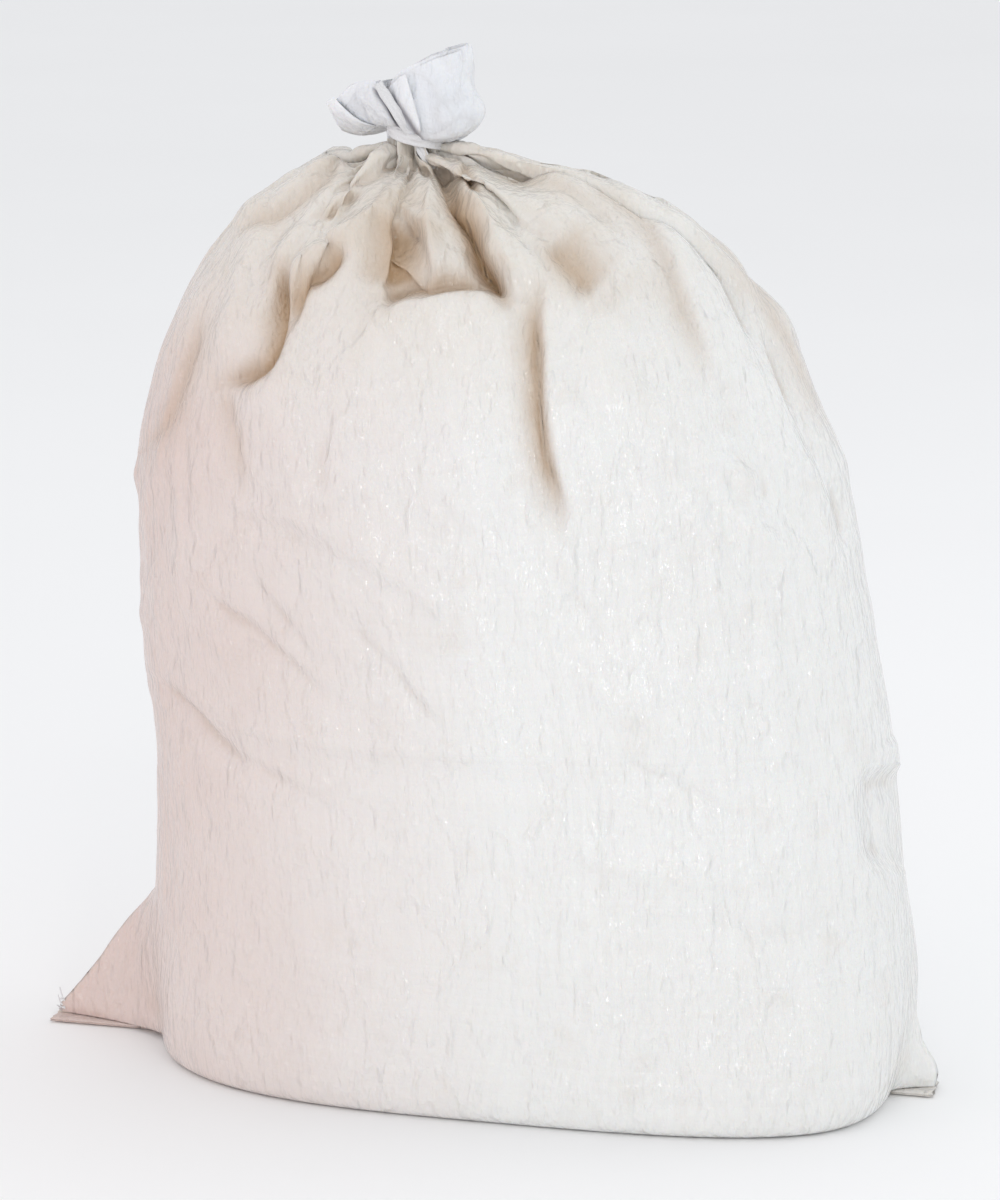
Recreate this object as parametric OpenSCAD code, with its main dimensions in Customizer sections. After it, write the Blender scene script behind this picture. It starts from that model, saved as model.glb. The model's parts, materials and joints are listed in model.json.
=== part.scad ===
// Filled woven sack for bulk goods, standing on its stitched bottom, with its neck gathered and tied.
// The origin is on the floor at the middle of the hem, X runs along the hem and -Y is the front.

/* [Sack] */
// Width of the empty sack laid flat, which is the length of its bottom hem
flat_w = 550; // [520:5:580]
// Depth of the filled sack, front to back
body_d = 242; // [220:2:260]
// Height of the filled sack up to its gathered neck
neck_z = 557; // [540:1:580]
// Thickness of the cloth wall
wall = 1; // [0.8:0.1:1.4]
// Thickness of the folded cloth under the contents
base_t = 6; // [5.5:0.1:8]

/* [Hem and stitches] */
// Width of the folded hem
hem_w = 24; // [20:1:26]
// Thickness of the folded hem
hem_t = 2.2; // [1.6:0.1:2.4]
// Diameter of the sewing thread
thread_d = 0.9; // [0.6:0.1:1]
// Distance from one stitch to the next
stitch_pitch = 8; // [7:0.5:10]

/* [Ears] */
// Distance from the middle of the hem to the line where the left ear folds
left_root = 229; // [228:0.5:232]
// Height of the left ear at that line
left_ear_h = 62; // [50:1:68]
// Distance from the middle of the hem to the line where the right ear folds
right_root = 262; // [261.5:0.5:263]
// Height of the right ear at that line
right_ear_h = 24; // [16:1:26]

/* [Neck and tie] */
// Sideways place of the neck, which leans to the left of the hem's middle
neck_x = -41; // [-44:1:-38]
// Radius of the gathered cloth inside the tie
neck_r = 13; // [12:0.5:14]
// Width of the flat tie strip
tie_w = 5; // [4:0.5:6]
// Thickness of the tie strip
tie_t = 0.8; // [0.6:0.1:1]
// Turns of the strip round the neck
tie_turns = 2; // [1:1:2]

/* [Mouth] */
// Height of the highest lobe of the mouth above the floor
mouth_top = 609; // [600:1:616]
// Reach of the mouth's left lobe from the neck
left_lobe = 49; // [40:1:52]
// Reach of the mouth's right lobe from the neck
right_lobe = 40; // [34:1:46]
// Reach of the mouth to the front and back
mouth_reach = 26; // [20:1:30]

/* [Hidden] */
$fn = 48;

// Outline of the filled sack, from the floor to the neck. Each row holds the height as a share of
// neck_z, the half width as a share of half the flat width, the half depth as a share of half the
// depth, the sideways place of the middle, and how square the section is (2 is an ellipse).
OUTLINE = [
    [0.000, 0.805, 0.96, 27, 2.70],
    [0.032, 0.825, 1.00, 28, 2.60],
    [0.120, 0.845, 1.00, 28, 2.40],
    [0.220, 0.831, 1.00, 26, 2.25],
    [0.360, 0.816, 1.00, 21, 2.15],
    [0.540, 0.791, 1.00, 9, 2.10],
    [0.700, 0.758, 0.98, 2, 2.05],
    [0.805, 0.685, 0.92, -1, 2.00],
    [0.880, 0.593, 0.80, -7, 2.00],
    [0.932, 0.469, 0.64, -15, 2.00],
    [0.960, 0.382, 0.51, -21, 2.00],
    [0.979, 0.275, 0.39, -30, 2.00],
    [0.992, 0.140, 0.24, -39, 2.00],
    [1.000, 0.065, 0.148, neck_x, 2.00]
];
sides = 48;             // corners of each ring of the sack
steps = 2;              // rings from one outline row to the next
square_lean = 0.4;      // how much squarer the right side is than the left

nose_l = 24;            // how far the cloth runs out towards the left ear
nose_top = 100;         // height at which that nose has died away
nose_power = 60;        // how narrow the nose is

gap = 1.2;              // clearance between the contents and the cloth
fill_nose = 0.6;        // share of the nose that the contents fill
fill_top_row = 9;       // outline row that the contents reach
crown_rise = 14;        // height of the contents' crown above that row
crown_share = 0.62;     // width of the crown as a share of that row
crown_shift = 8;        // how far the crown leans towards the neck
base_tuck = 3;          // how much narrower the inside is at its foot
groove_h = 4.2;         // depth of the groove that the hem lies in
groove_gap = 1;         // clearance beside the hem in its groove
hem_z = 1;              // the hem lies on its own looper thread

tip_r = 1.2;            // radius of an ear's edges
root_r = 3;             // radius of an ear along its fold line
neck_foot = 549;        // lowest point of the gathered neck
nod_z = 561;            // height at which the mouth nods on the neck
tie_z = nod_z + 2;      // lower edge of the first turn of the tie
tie_gap = 0.2;          // clearance from the neck to the tie
tie_r = neck_r + tie_gap;
mouth_steps = 6;        // rings of the mouth
mouth_sides = 40;       // corners of each of those rings

CLOTH = [0.94, 0.93, 0.91];
HEM = [0.90, 0.87, 0.78];
THREAD = [0.93, 0.90, 0.84];
STRIP = [0.95, 0.95, 0.96];
GRAIN = [0.80, 0.68, 0.47];

// ---- curves ----

// Point at place u along rows of numbers, on a smooth curve through every row
function row_at(rows, i) = rows[max(0, min(len(rows) - 1, i))];
function curve(rows, u) =
    let (i = min(floor(u), len(rows) - 2), f = u - i,
         p = row_at(rows, i - 1), q = row_at(rows, i), r = row_at(rows, i + 1), s = row_at(rows, i + 2))
    0.5 * (2 * q + (r - p) * f + (2 * p - 5 * q + 4 * r - s) * f * f + (3 * q - p - 3 * r + s) * f * f * f);

// Outline row in millimetres: height, half width, half depth, middle, squareness
function sized(row) = [row[0] * neck_z, row[1] * flat_w / 2, row[2] * body_d / 2, row[3], row[4]];

// The same row moved in from the surface by t, square to the outline
function inset(u, t) =
    let (row = sized(curve(OUTLINE, u)), e = 0.05,
         low = sized(curve(OUTLINE, max(0, u - e))),
         high = sized(curve(OUTLINE, min(len(OUTLINE) - 1, u + e))),
         rise = high[0] - low[0], run = high[1] - low[1], long = norm([rise, run]))
    [row[0] + t * run / long, row[1] - t * rise / long, row[2] - t * rise / long, row[3], row[4]];

function signed_power(x, p) = sign(x) * pow(abs(x), p);
function nose(z, a) = z >= nose_top || a <= 90 || a >= 270 ? 0 :
    nose_l * pow(cos(90 * z / nose_top), 0.6) * pow(-cos(a), nose_power);

// One ring of the sack, seen from above: a squarish oval with a share of the nose towards the left ear
function ring(row, share = 1) = [
    for (k = [0 : sides - 1])
    let (a = 360 * k / sides, n = row[4] + square_lean * cos(a) * (row[4] - 2))
    [row[3] + row[1] * signed_power(cos(a), 2 / n) - share * nose(row[0], a),
     row[2] * signed_power(sin(a), 2 / n),
     row[0]]
];

// Side faces between count rings of n points, wound to face outwards
function band(count, n, first = 0, flip = false) = [
    for (i = [0 : count - 2], k = [0 : n - 1])
    let (a = first + i * n + k, b = first + i * n + (k + 1) % n)
    each flip ? [[b, b + n, a + n], [b, a + n, a]] : [[a, a + n, b + n], [a, b + n, b]]
];
function flat_list(lists) = [for (part = lists, item = part) item];

// Middle of a list of points
function middle(points, i = 0) = i == len(points) ? [0, 0, 0] : points[i] / len(points) + middle(points, i + 1);

// Closed solid through a stack of rings, with a middle point in each end
module loft(rings) {
    n = len(rings[0]);
    last = (len(rings) - 1) * n;
    foot = len(rings) * n;
    polyhedron(
        concat(flat_list(rings), [middle(rings[0]), middle(rings[len(rings) - 1])]),
        concat(
            band(len(rings), n),
            [for (k = [0 : n - 1]) [foot, k, (k + 1) % n]],
            [for (k = [0 : n - 1]) [foot + 1, last + (k + 1) % n, last + k]]
        ),
        convexity = 6
    );
}

// ---- sack ----

outer_rows = [for (u = [0 : 1 / steps : len(OUTLINE) - 1]) sized(curve(OUTLINE, u))];
inner_rows = [
    for (u = [1 : 1 / steps : len(OUTLINE) - 1])
    u < len(OUTLINE) - 1 ? inset(u, wall) : let (rim = inset(u, wall)) [neck_z, rim[1], rim[2], rim[3], rim[4]]
];
floor_row = let (row = inset(1, wall)) [base_t, row[1] - base_tuck, row[2] - base_tuck, row[3], row[4]];

// The cloth from the base to the neck: an outer and an inner surface that meet at the open neck,
// with a groove under the base for the hem
module sack_body() {
    outer = [for (row = outer_rows) ring(row)];
    inner = concat([ring(floor_row)], [for (row = inner_rows) ring(row)]);
    n = sides;
    first = len(outer) * n;
    rim_out = first - n;
    rim_in = first + (len(inner) - 1) * n;
    color(CLOTH) difference() {
        polyhedron(
            concat(flat_list(outer), flat_list(inner)),
            concat(
                band(len(outer), n),
                band(len(inner), n, first, true),
                [[for (k = [0 : n - 1]) k]],
                [[for (k = [n - 1 : -1 : 0]) first + k]],
                [for (k = [0 : n - 1]) [rim_out + k, rim_in + k, rim_in + (k + 1) % n, rim_out + (k + 1) % n]]
            ),
            convexity = 8
        );
        translate([-flat_w / 2 - 10, -hem_w / 2 - groove_gap, -1])
            cube([flat_w + 20, hem_w + 2 * groove_gap, groove_h + 1]);
    }
}

// Loose product that fills the sack, just inside the cloth
module contents() {
    t = wall + gap;
    low = let (row = inset(1, t)) [base_t + gap, row[1] - base_tuck, row[2] - base_tuck, row[3], row[4]];
    rows = [for (u = [1 : 1 / steps : fill_top_row]) inset(u, t)];
    top = rows[len(rows) - 1];
    crown = [top[0] + crown_rise, top[1] * crown_share, top[2] * crown_share, top[3] - crown_shift, top[4]];
    color(GRAIN) loft([for (row = concat([low], rows, [crown])) ring(row, fill_nose)]);
}

// ---- hem, threads and ears ----

// Flat strip of hem from x0 to x1
module hem_strip(x0, x1) {
    color(HEM) translate([x0, -hem_w / 2, hem_z]) cube([x1 - x0, hem_w, hem_t]);
}

// Hem end with a round root at the fold line, so that it can turn there
module hem_end(root, side) {
    tip = flat_w / 2;
    color(HEM) translate([0, 0, hem_z]) {
        translate([side > 0 ? root : -tip, -hem_w / 2, 0]) cube([tip - root, hem_w, hem_t]);
        translate([side * root, 0, 0]) cylinder(r = hem_w / 2, h = hem_t);
    }
}

// Straight stitches along X from x0 to x1, at height z and sideways place y
module stitches(x0, x1, y, z) {
    count = floor((x1 - x0) / stitch_pitch);
    for (k = [0 : count - 1])
        translate([x0 + (k + 0.1) * stitch_pitch, y, z])
            rotate([0, 90, 0]) cylinder(d = thread_d, h = 0.8 * stitch_pitch, $fn = 16);
}
module needle_thread(x0, x1) {
    color(THREAD) stitches(x0, x1, 0, hem_z + hem_t + thread_d / 2);
}
// The looper thread lies double under the hem
module looper_thread(x0, x1) {
    for (y = [-0.6, 0.6] * thread_d) color(THREAD) stitches(x0, x1, y, hem_z - thread_d / 2);
}

// Flat two-layer corner of cloth that stands on the hem and tapers to its edges
module ear(root, high, side) {
    foot = hem_z + hem_t + thread_d + 0.1;
    tip = flat_w / 2 - tip_r;
    color(CLOTH) translate([0, 0, foot]) hull() {
        translate([side * root, 0, 0]) cylinder(r = root_r, h = 2, $fn = 24);
        translate([side * root, 0, high - foot - 2]) cylinder(r = 1.6, h = 2, $fn = 24);
        translate([side * (root + 0.55 * (tip - root)), 0, 0.38 * high]) cylinder(r = 1.4, h = 1, $fn = 24);
        translate([side * tip, 0, 0]) cylinder(r = tip_r, h = 2, $fn = 24);
    }
}

inner_end = hem_w / 2 + 1;      // the bottom hem stops this far short of each fold line
module bottom_hem() { hem_strip(-left_root + inner_end, right_root - inner_end); }
module bottom_needle_thread() { needle_thread(-left_root + inner_end, right_root - inner_end); }
module bottom_looper_thread() { looper_thread(-left_root + inner_end, right_root - inner_end); }
module left_ear() { ear(left_root, left_ear_h, -1); }
module left_hem_end() { hem_end(left_root, -1); }
module left_needle_thread() { needle_thread(-flat_w / 2, -left_root + 4); }
module left_looper_thread() { looper_thread(-flat_w / 2, -left_root + 4); }
module right_ear() { ear(right_root, right_ear_h, 1); }
module right_hem_end() { hem_end(right_root, 1); }
module right_needle_thread() { needle_thread(right_root - 4, flat_w / 2); }
module right_looper_thread() { looper_thread(right_root - 4, flat_w / 2); }

// ---- neck, tie and mouth ----

// Gathered cloth inside the rim of the sack, which twists there
module neck() {
    color(CLOTH) translate([neck_x, 0, neck_foot]) cylinder(r = neck_r + 1, h = nod_z - 4 - neck_foot);
}

mouth_foot = tie_z + tie_turns * (tie_w + 1) + 0.5;

// Reach of the mouth at angle a, in plan: a long lobe to each side and small folds between
function lobe(a) =
    let (side = cos(a) > 0 ? right_lobe : left_lobe, c = cos(a) * cos(a))
    (side - 3) * c + (mouth_reach - 3) * (1 - c) + 3 * cos(6 * a);
// Height of the mouth's edge at angle a: high on the right, low on the left
function mouth_edge(a) = mouth_top - 17 + 15 * cos(a - 25) - 2 * cos(5 * a);
// Point of the mouth at angle a and share f of its height, pushed out by out
function mouth_point(a, f, out = 0) =
    let (r = neck_r + (lobe(a) - neck_r) * pow(sin(90 * f), 0.9) + out)
    [neck_x + r * cos(a), r * sin(a), mouth_foot + (mouth_edge(a) - mouth_foot) * f];

// Mouth of the sack above the tie: gathered cloth that flares into lobes
module mouth_ruffle() {
    angles = [for (k = [0 : mouth_sides - 1]) 360 * k / mouth_sides];
    foot = [for (a = angles) [neck_x + neck_r * cos(a), neck_r * sin(a), nod_z]];
    flare = [for (i = [0 : mouth_steps]) [for (a = angles) mouth_point(a, i / mouth_steps)]];
    color(CLOTH) loft(concat([foot], flare));
}

// Turns of the flat strip round the neck, one above the other
module tie_wraps() {
    color(STRIP) for (k = [0 : tie_turns - 1])
        translate([neck_x, 0, tie_z + k * (tie_w + 1)]) rotate_extrude()
            translate([tie_r, 0]) square([tie_t, tie_w]);
}

// Length of the strip that is led from below the tie, over its turns and the front of the mouth
strand_gap = 3.2;           // clearance from the mouth to the strand
strand_steps = 10;          // rings of the strand
strand_start = -55;         // angle round the neck where it starts
strand_end = -112;          // and where it ends, at the mouth's edge
function strand_point(f, out) =
    let (a = strand_start + (strand_end - strand_start) * f, share = 2 * f - 1)
    share > 0 ? mouth_point(a, share, strand_gap + out) :
        mouth_point(a, 0, strand_gap + out) + [0, 0, share * (mouth_foot - nod_z)];
module tie_strand() {
    color(STRIP) loft([for (i = [0 : strand_steps])
        let (f = i / strand_steps, a = strand_start + (strand_end - strand_start) * f,
             half = [-sin(a), cos(a), 0] * tie_w / 2, near = strand_point(f, 0), far = strand_point(f, tie_t))
        [far - half, far + half, near + half, near - half]]);
}

// Knot behind the neck, and the two cut ends of the strip below it
knot_r = 4;                 // radius of the knot
knot_y = tie_r + tie_t + knot_r + tie_gap;
knot_z = tie_z + tie_w + 0.5;
module tie_knot() {
    color(STRIP) translate([neck_x, knot_y, knot_z]) sphere(r = knot_r, $fn = 32);
}
module tie_tails() {
    tail_l = 16;            // length of each cut end
    droop = 14;             // how far each end hangs down, in degrees
    color(STRIP) for (side = [-1, 1])
        translate([neck_x + side * (knot_r + 0.5), knot_y, knot_z]) rotate([0, side * droop, 0])
            translate([side > 0 ? 0 : -tail_l, -tie_t / 2, -tie_w / 2]) cube([tail_l, tie_t, tie_w]);
}

sack_body();
contents();
bottom_hem();
bottom_needle_thread();
bottom_looper_thread();
left_ear();
left_hem_end();
left_needle_thread();
left_looper_thread();
right_ear();
right_hem_end();
right_needle_thread();
right_looper_thread();
neck();
mouth_ruffle();
tie_wraps();
tie_strand();
tie_knot();
tie_tails();
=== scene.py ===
"""A filled woven sack for bulk goods, with its neck tied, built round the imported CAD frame.

The cloth is one woven tube. Its lower half is lofted, its upper half is gathered into the tie by a
cloth simulation, and the whole is then creased and split where the CAD bodies move. Lengths are in metres.
"""

import math

import bpy
import numpy as np
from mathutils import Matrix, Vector
from mathutils.bvhtree import BVHTree
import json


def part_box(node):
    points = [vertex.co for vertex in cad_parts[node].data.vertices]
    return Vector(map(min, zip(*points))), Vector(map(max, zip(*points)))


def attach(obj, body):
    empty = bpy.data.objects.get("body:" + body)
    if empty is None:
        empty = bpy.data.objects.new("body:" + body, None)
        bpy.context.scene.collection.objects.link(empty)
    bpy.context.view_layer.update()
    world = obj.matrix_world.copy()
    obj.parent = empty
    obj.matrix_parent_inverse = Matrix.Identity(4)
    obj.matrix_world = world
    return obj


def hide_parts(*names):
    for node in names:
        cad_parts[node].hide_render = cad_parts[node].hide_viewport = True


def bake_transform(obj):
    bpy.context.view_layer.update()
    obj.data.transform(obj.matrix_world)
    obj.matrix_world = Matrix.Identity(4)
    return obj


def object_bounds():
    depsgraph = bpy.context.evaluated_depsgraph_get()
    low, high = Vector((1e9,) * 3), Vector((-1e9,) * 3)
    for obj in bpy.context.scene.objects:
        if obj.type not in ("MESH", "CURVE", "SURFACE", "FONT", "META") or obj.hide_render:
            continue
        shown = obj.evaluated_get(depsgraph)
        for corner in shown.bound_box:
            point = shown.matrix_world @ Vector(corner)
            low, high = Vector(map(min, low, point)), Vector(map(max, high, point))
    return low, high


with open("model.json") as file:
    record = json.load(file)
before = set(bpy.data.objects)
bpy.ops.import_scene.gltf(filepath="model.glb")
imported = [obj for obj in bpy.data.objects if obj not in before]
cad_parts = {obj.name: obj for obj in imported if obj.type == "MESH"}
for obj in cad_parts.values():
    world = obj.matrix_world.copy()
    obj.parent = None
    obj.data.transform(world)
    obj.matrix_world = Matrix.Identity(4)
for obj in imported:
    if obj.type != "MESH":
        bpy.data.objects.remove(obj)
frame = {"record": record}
CAD_LOW, CAD_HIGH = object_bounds()
MM = 0.001

# ---- driving dimensions

FLAT_W = CAD_HIGH.x - CAD_LOW.x          # flat width of the tube, which is the hem's length
GIRTH = 2 * FLAT_W                       # all the way round the tube
HALF_D = 121 * MM                        # half the depth of the filled body
NECK_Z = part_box("sack_body")[1].z        # height of the gathered neck
JOINT = {j["name"]: j for j in frame["record"]["behaviour"]["joints"]}
NECK = Vector(JOINT["neck_twist"]["pos_m"])
LEFT_ROOT = Vector(JOINT["left_ear_swing"]["pos_m"])
RIGHT_ROOT = Vector(JOINT["right_ear_swing"]["pos_m"])

# Outline of the filled sack, from the floor to the neck: height, half width and half depth as
# shares of NECK_Z, FLAT_W / 2 and HALF_D, then the middle in millimetres and the squareness
OUTLINE = np.array([
    [0.000, 0.805, 0.96, 27, 3.10],
    [0.032, 0.825, 1.00, 28, 2.95],
    [0.120, 0.845, 1.00, 28, 2.50],
    [0.220, 0.831, 1.00, 26, 2.25],
    [0.360, 0.816, 1.00, 21, 2.15],
    [0.540, 0.791, 1.00, 9, 2.10],
    [0.700, 0.758, 0.98, 2, 2.05],
    [0.805, 0.685, 0.92, -1, 2.00],
    [0.880, 0.593, 0.80, -7, 2.00],
    [0.932, 0.469, 0.64, -15, 2.00],
    [0.960, 0.382, 0.51, -21, 2.00],
    [0.979, 0.275, 0.39, -30, 2.00],
    [0.992, 0.140, 0.24, -39, 2.00],
    [1.000, 0.065, 0.148, -41, 2.00],
]) * [NECK_Z, FLAT_W / 2, HALF_D, MM, 1]
SQUARE_LEAN = 0.4           # share of the squareness that the right side gains and the left side loses

SIM_BASE = 200 * MM         # the cloth is lofted below this height and simulated above it
COLUMNS = 130               # cloth columns round the tube in the simulation
SIM_FRAMES = 60
FINE = 4                    # finished rows and columns to each simulated one
MOUTH_L = 52 * MM           # cloth above the tie

# ---- numbers and curves


def smooth(x, low, high):
    """0 below low, 1 above high, and a smooth step between."""
    t = np.clip((x - low) / (high - low), 0, 1)
    return t * t * (3 - 2 * t)


def band(x, low, rise, fall, high):
    """1 between rise and fall, 0 outside low and high, and smooth steps between."""
    return smooth(x, low, rise) * (1 - smooth(x, fall, high))


def catmull(rows, u):
    """Points at places u on a smooth curve through rows."""
    last = len(rows) - 1
    i = np.clip(np.floor(u).astype(int), 0, last - 1)
    f = (u - i)[:, None]
    p, q, r, s = (rows[np.clip(i + k, 0, last)] for k in (-1, 0, 1, 2))
    curve, twist = 2 * p - 5 * q + 4 * r - s, 3 * q - p - 3 * r + s
    return 0.5 * (2 * q + (r - p) * f + curve * f**2 + twist * f**3)


OUTLINE_FINE = catmull(OUTLINE, np.linspace(0, len(OUTLINE) - 1, 1300))


def outline_at(z):
    """Rows of the outline at heights z."""
    z = np.atleast_1d(z)
    return np.stack([z] + [np.interp(z, OUTLINE_FINE[:, 0], OUTLINE_FINE[:, k]) for k in range(1, 5)], -1)


def signed_power(x, power):
    """x to a power, with its sign kept."""
    return np.sign(x) * np.abs(x) ** power


def rings(rows, angles, inset=0.0):
    """Rings of the sack at outline rows: an array of rows x angles x 3. angles may differ by row."""
    angles = np.broadcast_to(angles, (len(rows), np.shape(angles)[-1]))
    inset = np.broadcast_to(inset, len(rows))[:, None]
    square = rows[:, 4:5] + SQUARE_LEAN * np.cos(angles) * (rows[:, 4:5] - 2)
    x = rows[:, 3:4] + (rows[:, 1:2] - inset) * signed_power(np.cos(angles), 2 / square)
    y = (rows[:, 2:3] - inset) * signed_power(np.sin(angles), 2 / square)
    return np.stack([x, y, np.broadcast_to(rows[:, 0:1], x.shape)], -1)


def spaced_angles(z, count):
    """count angles that space the columns evenly round the ring at height z."""
    angles = np.linspace(0, 2 * np.pi, 20001)
    loop = rings(outline_at(z), angles)[0]
    run = np.r_[0, np.cumsum(np.linalg.norm(np.diff(loop, axis=0), axis=1))]
    return np.interp(np.linspace(0, run[-1], count, endpoint=False), run, angles)


def spline_matrix(count, fine, closed):
    """Matrix that turns count values into fine times as many on a smooth B-spline."""
    places = np.arange(count * fine) / fine if closed else np.linspace(0, count - 1, (count - 1) * fine + 1)
    out = np.zeros((len(places), count))
    i = np.floor(places).astype(int)
    f = places - i
    weights = [(1 - f) ** 3 / 6, (3 * f**3 - 6 * f**2 + 4) / 6,
               (-3 * f**3 + 3 * f**2 + 3 * f + 1) / 6, f**3 / 6]
    for k, weight in zip((-1, 0, 1, 2), weights):
        j = (i + k) % count if closed else np.clip(i + k, 0, count - 1)
        np.add.at(out, (np.arange(len(places)), j), weight)
    return out


def grid_normals(points):
    """Unit normals of a grid of rows x columns that is closed round its columns."""
    across = np.roll(points, -1, 1) - np.roll(points, 1, 1)
    up = np.gradient(points, axis=0)
    normal = np.cross(across, up)
    return normal / np.maximum(np.linalg.norm(normal, axis=2, keepdims=True), 1e-12)


def blurred(field, times):
    """A grid field, closed round its columns, averaged with its neighbours some times."""
    for _ in range(times):
        field = (np.roll(field, 1, 1) + np.roll(field, -1, 1) + 2 * field) / 4
        up = np.concatenate([field[1:], field[-1:]])
        down = np.concatenate([field[:1], field[:-1]])
        field = (up + down + 2 * field) / 4
    return field


# ---- the gathered cloth

ANGLES = spaced_angles(0.3, COLUMNS)
STEP = GIRTH / COLUMNS


def way_to_neck():
    """Length of the outline along each column, from the simulation's lowest row to the neck."""
    heights = np.r_[np.linspace(SIM_BASE, 0.54, 60), np.linspace(0.541, NECK_Z, 17)]
    return np.linalg.norm(np.diff(rings(outline_at(heights), ANGLES), axis=0), axis=2).sum(0)


def tube_grid():
    """The tube standing open over the contents, and how far up its cloth each row is."""
    way = way_to_neck()
    front, back = np.clip(-np.sin(ANGLES), 0, 1), np.clip(np.sin(ANGLES), 0, 1)
    slack = 1.03 + 0.035 * front + 0.02 * back
    mean = float((way * slack).mean())
    count = int((mean + MOUTH_L) / STEP) + 1
    run = np.arange(count) * STEP
    rows = outline_at(np.minimum(SIM_BASE + run, 0.3))
    points = rings(rows, ANGLES)
    points[..., 2] = SIM_BASE + run[:, None] * (way * slack / mean)[None]
    rng = np.random.default_rng(7)
    wobble = sum(0.6 * np.sin(k * ANGLES + rng.uniform(0, 2 * np.pi)) for k in (5, 9, 14, 22, 31, 43))
    out = np.stack([np.cos(ANGLES), 1.4 * np.sin(ANGLES), 0 * ANGLES], -1)
    points += out[None] * (wobble[None] * smooth(run, 0.12, 0.22)[:, None])[..., None] * 1.5 * MM
    return points, run, int(round(mean / STEP))


def bunch_ring(pleats=22, inner=2 * MM, outer=18 * MM):
    """The tube's columns gathered into pleats round the neck: one ring of points."""
    around = np.arctan2(np.sin(ANGLES) * HALF_D, np.cos(ANGLES) * FLAT_W * 0.39)
    k = np.arange(COLUMNS)
    phase = np.cumsum(1 + 0.35 * np.sin(0.37 * k + 1) + 0.25 * np.sin(0.113 * k))
    reach = (inner + outer) / 2 + (outer - inner) / 2 * np.cos(phase / phase[-1] * 2 * np.pi * pleats)
    x, y = 1.05 * reach * np.cos(around), reach * np.sin(around)
    return np.stack([NECK.x + x, NECK.y + y, 0 * reach], -1)


def grid_faces(rows, columns, first=0):
    """Quads of a grid closed round its columns, facing outwards."""
    i, k = np.meshgrid(np.arange(rows - 1), np.arange(columns), indexing="ij")
    a, b = first + i * columns + k, first + i * columns + (k + 1) % columns
    return np.stack([a, b, b + columns, a + columns], -1).reshape(-1, 4)


def new_mesh(name, points, faces, material=None):
    """Object from points and faces, smooth shaded."""
    mesh = bpy.data.meshes.new(name)
    faces = faces if isinstance(faces, list) else faces.tolist()
    mesh.from_pydata(np.reshape(points, (-1, 3)).tolist(), [], faces)
    mesh.polygons.foreach_set("use_smooth", [True] * len(mesh.polygons))
    if material:
        mesh.materials.append(material)
    obj = bpy.data.objects.new(name, mesh)
    bpy.context.scene.collection.objects.link(obj)
    return obj


def fill_object():
    """The heap of contents that the cloth falls on, a little inside the outline."""
    sides = 96
    heights = np.r_[np.linspace(0.15, 0.44, 20), np.linspace(0.452, 0.54, 14)]
    inset = 3 * MM + np.interp(heights, [0.38, 0.50], [0, 9 * MM])
    points = rings(outline_at(heights), np.linspace(0, 2 * np.pi, sides, endpoint=False), inset)
    points[..., 2] -= np.interp(heights, [0.38, 0.52], [0, 10 * MM])[:, None]
    faces = grid_faces(len(heights), sides).tolist()
    top = (len(heights) - 1) * sides
    apex = points.size // 3
    faces += [[top + k, top + (k + 1) % sides, apex] for k in range(sides)]
    points = np.concatenate([points.reshape(-1, 3), [points[-1].mean(0) + [0, 0, MM]]])
    return new_mesh("fill_for_cloth", points, faces)


def simulate(points, neck_row):
    """Gathers the tube's neck row into the bunch by cloth simulation, over the contents."""
    scene = bpy.context.scene
    rows, columns = points.shape[:2]
    gathered = points.copy()
    for offset in (-1, 0, 1):
        gathered[neck_row + offset] = bunch_ring() + [0, 0, NECK_Z - 4 * MM + 5 * MM * offset]
    cloth = new_mesh("cloth_sim", points, grid_faces(rows, columns))
    cloth.shape_key_add(name="Basis")
    key = cloth.shape_key_add(name="Gather")
    key.data.foreach_set("co", gathered.astype(np.float32).ravel())
    for value, when in ((0, 1), (1, int(0.6 * SIM_FRAMES))):
        key.value = value
        key.keyframe_insert("value", frame=when)
    pins = cloth.vertex_groups.new(name="pins")
    held_rows = (0, 1, 2, neck_row - 1, neck_row, neck_row + 1)
    pins.add([row * columns + k for row in held_rows for k in range(columns)], 1.0, "REPLACE")
    fill = fill_object()
    fill.modifiers.new("collision", "COLLISION")
    fill.collision.thickness_outer = 0.002
    fill.collision.thickness_inner = 0.03
    fill.collision.cloth_friction = 8
    fill.collision.damping = 0.6
    modifier = cloth.modifiers.new("cloth", "CLOTH")
    settings, contact = modifier.settings, modifier.collision_settings
    settings.quality = 6
    settings.mass = 0.15
    settings.tension_stiffness = settings.compression_stiffness = 60
    settings.shear_stiffness = 20
    settings.bending_stiffness = 1.2
    settings.tension_damping = settings.compression_damping = settings.shear_damping = 10
    settings.bending_damping = 1
    settings.air_damping = 2
    settings.vertex_group_mass = "pins"
    contact.distance_min = 0.0025
    contact.collision_quality = 3
    contact.use_self_collision = True
    contact.self_distance_min = 0.0022
    contact.self_friction = 5
    modifier.point_cache.frame_start = 1
    modifier.point_cache.frame_end = SIM_FRAMES + 1
    for step in range(1, SIM_FRAMES + 1):
        scene.frame_set(step)
    result = cloth.evaluated_get(bpy.context.evaluated_depsgraph_get()).to_mesh()
    found = np.zeros(rows * columns * 3, np.float32)
    result.vertices.foreach_get("co", found)
    bpy.data.objects.remove(cloth)
    bpy.data.objects.remove(fill)
    scene.frame_set(1)
    return found.reshape(rows, columns, 3).astype(float)


# ---- the whole tube of cloth

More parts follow.
